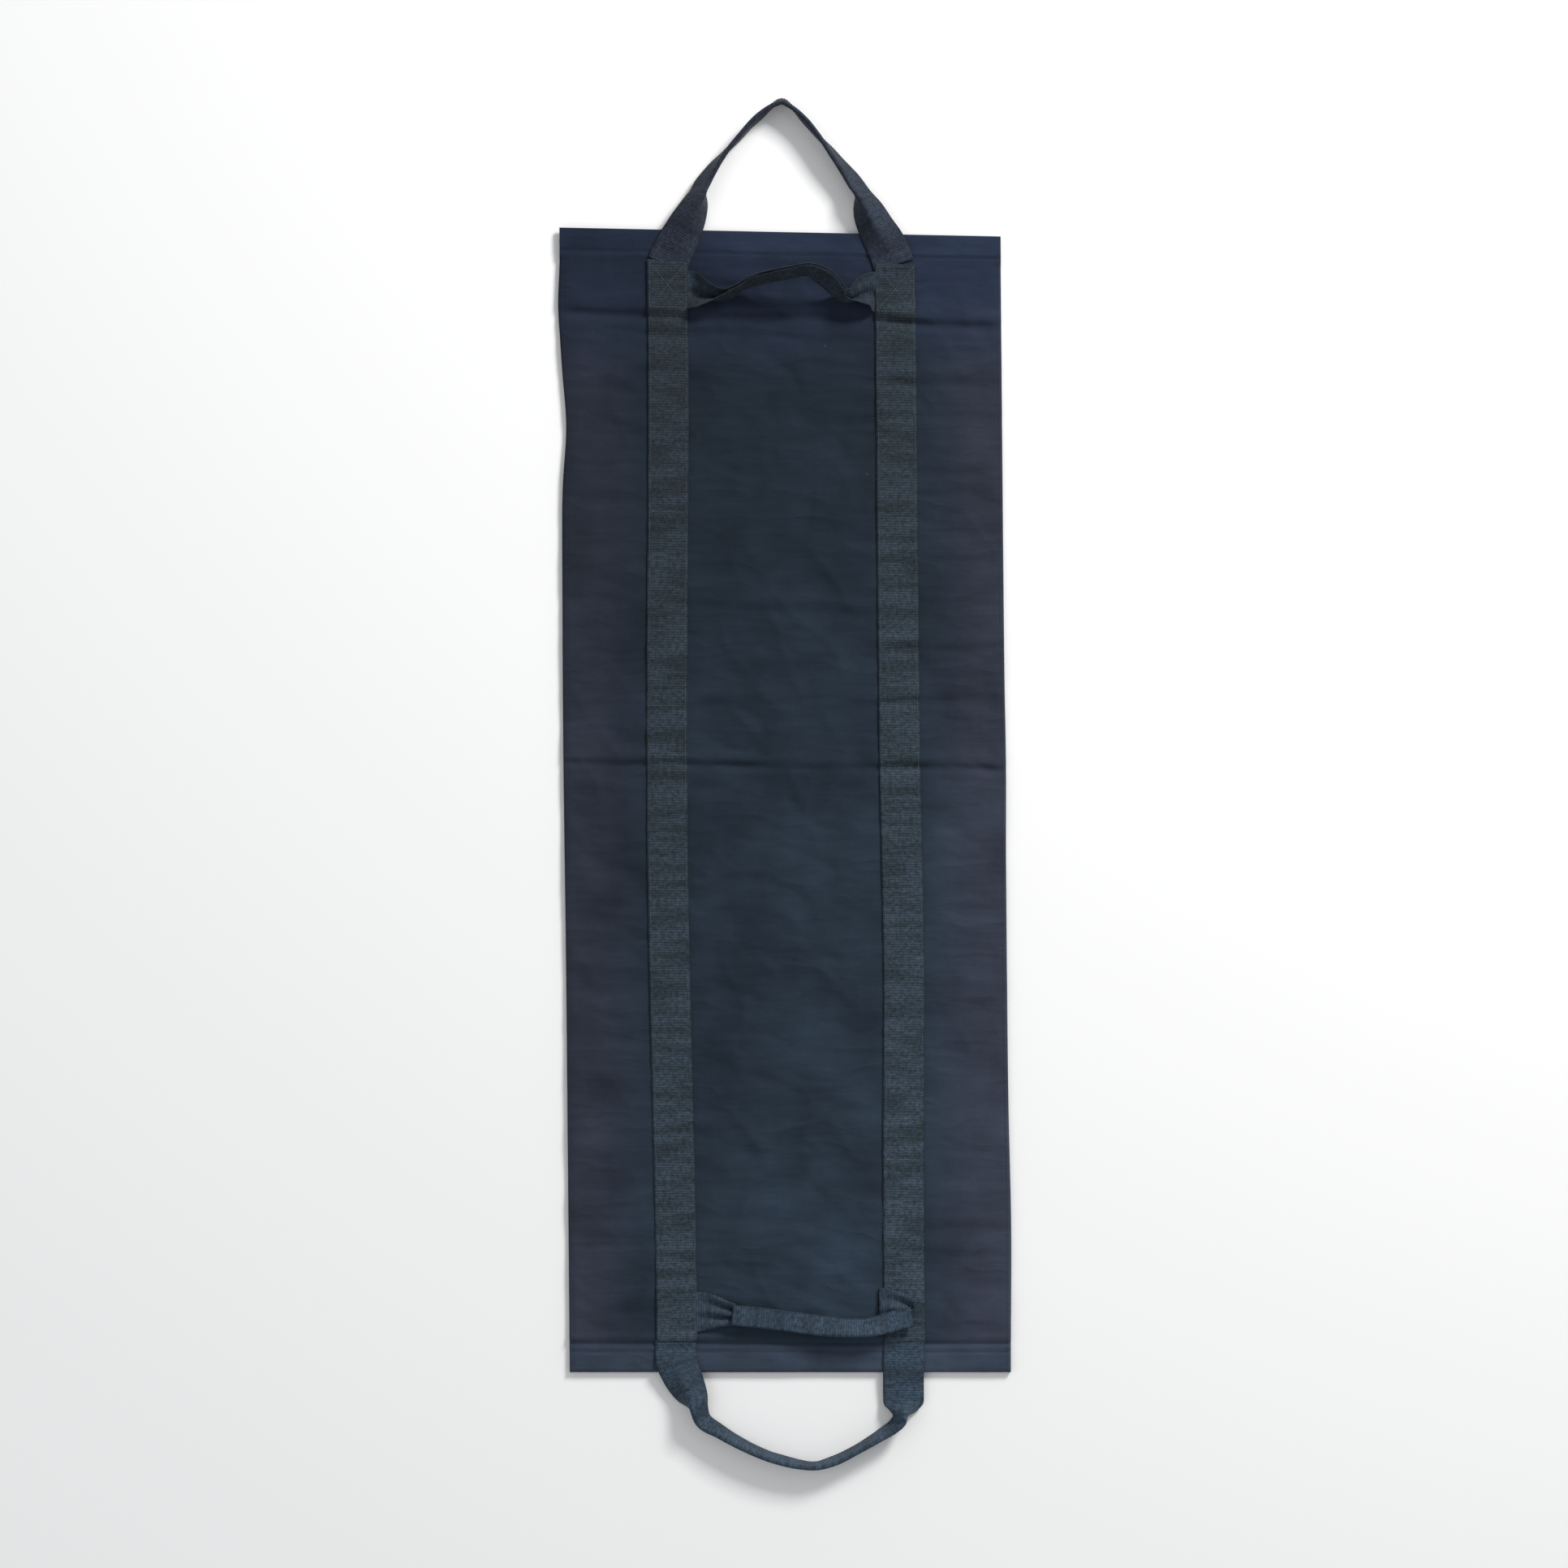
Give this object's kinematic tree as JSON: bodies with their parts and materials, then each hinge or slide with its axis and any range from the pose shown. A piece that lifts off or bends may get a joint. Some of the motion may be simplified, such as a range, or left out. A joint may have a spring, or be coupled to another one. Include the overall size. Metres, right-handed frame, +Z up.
{
  "type": "sandbag",
  "caption": "Empty flat canvas sandbag with full-length webbing straps, a carry loop at each end and a crosswise grab handle near each end.",
  "frame": {"origin": "middle of the bag, on the underside of the back panel", "axes": "+Z up out of the strap face, +Y along the bag to the mouth end, +X to the right seen with the mouth end up"},
  "size_m": [0.41, 1.274, 0.0481],
  "materials": {
    "canvas": "dark navy-black plain-weave canvas, matt",
    "webbing": "dark woven webbing with fine cross ribs, matt",
    "thread": "dark polyester thread, slight sheen",
    "hook_tape": "black nylon hook tape",
    "loop_tape": "black nylon loop tape, fuzzy"
  },
  "bodies": {
    "upper_half": {"front_panel_upper": "canvas", "back_panel_upper": "canvas", "left_strap_upper": "webbing", "right_strap_upper": "webbing", "top_grab_ends": "webbing", "loop_tape": "loop_tape", "strap_stitching_upper": "thread", "side_stitching_upper": "thread", "top_box_stitching": "thread", "top_hem_stitching": "thread"},
    "lower_half": {"front_panel_lower": "canvas", "back_panel_lower": "canvas", "left_strap_lower": "webbing", "right_strap_lower": "webbing", "bottom_grab_ends": "webbing", "strap_stitching_lower": "thread", "side_stitching_lower": "thread", "bottom_box_stitching": "thread", "bottom_hem_stitching": "thread"},
    "back_lip": {"mouth_lip": "canvas", "hook_tape": "hook_tape"},
    "top_carry": {"top_carry_handle": "webbing"},
    "bottom_carry": {"bottom_carry_handle": "webbing"},
    "top_grab": {"top_grab_handle": "webbing"},
    "bottom_grab": {"bottom_grab_handle": "webbing"}
  },
  "joints": [
    {"name": "bag_fold", "type": "hinge", "parent": "upper_half", "child": "lower_half", "pos_m": [0, 0.033, 0.0077], "axis": [1, 0, 0], "range_deg": [-170, 0]},
    {"name": "mouth_lip_open", "type": "hinge", "parent": "upper_half", "child": "back_lip", "pos_m": [0, 0.5085, -0.0003], "axis": [-1, 0, 0], "range_deg": [0, 120]},
    {"name": "top_carry_swing", "type": "hinge", "parent": "upper_half", "child": "top_carry", "pos_m": [0, 0.5025, 0.0083], "axis": [1, 0, 0], "range_deg": [0, 140]},
    {"name": "bottom_carry_swing", "type": "hinge", "parent": "lower_half", "child": "bottom_carry", "pos_m": [0, -0.5025, 0.0083], "axis": [-1, 0, 0], "range_deg": [0, 125]},
    {"name": "top_grab_swing", "type": "hinge", "parent": "upper_half", "child": "top_grab", "pos_m": [0, 0.466, 0.008], "axis": [1, 0, 0], "range_deg": [-15, 105]},
    {"name": "bottom_grab_swing", "type": "hinge", "parent": "lower_half", "child": "bottom_grab", "pos_m": [0, -0.46, 0.0115], "axis": [-1, 0, 0], "range_deg": [0, 120]}
  ]
}
